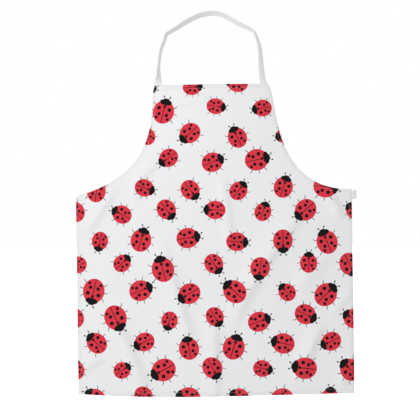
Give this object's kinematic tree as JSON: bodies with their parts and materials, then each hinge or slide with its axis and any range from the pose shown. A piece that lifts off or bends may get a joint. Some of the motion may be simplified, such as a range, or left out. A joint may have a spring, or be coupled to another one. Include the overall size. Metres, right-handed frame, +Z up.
{
  "type": "kitchen apron",
  "caption": "Bib apron of printed cloth in its worn form, with curved armholes, a neck tape in one loop and waist ties hanging behind the skirt.",
  "frame": {"origin": "middle of the neck tape at the nape, where the apron hangs on the wearer", "axes": "+Z up, front of the apron towards -Y, +X to the right seen from the front"},
  "size_m": [0.7031, 0.1609, 0.9745],
  "materials": {
    "printed_cloth": "matt plain-weave white cotton and polyester, printed on the front with scattered red and black ladybirds",
    "white_tape": "matt white woven tape with a fine herringbone and firm edges"
  },
  "bodies": {
    "root": {"apron_body": "printed_cloth", "neck_strap": "white_tape", "waist_tie_left": "white_tape", "waist_tie_right": "white_tape"}
  },
  "joints": []
}
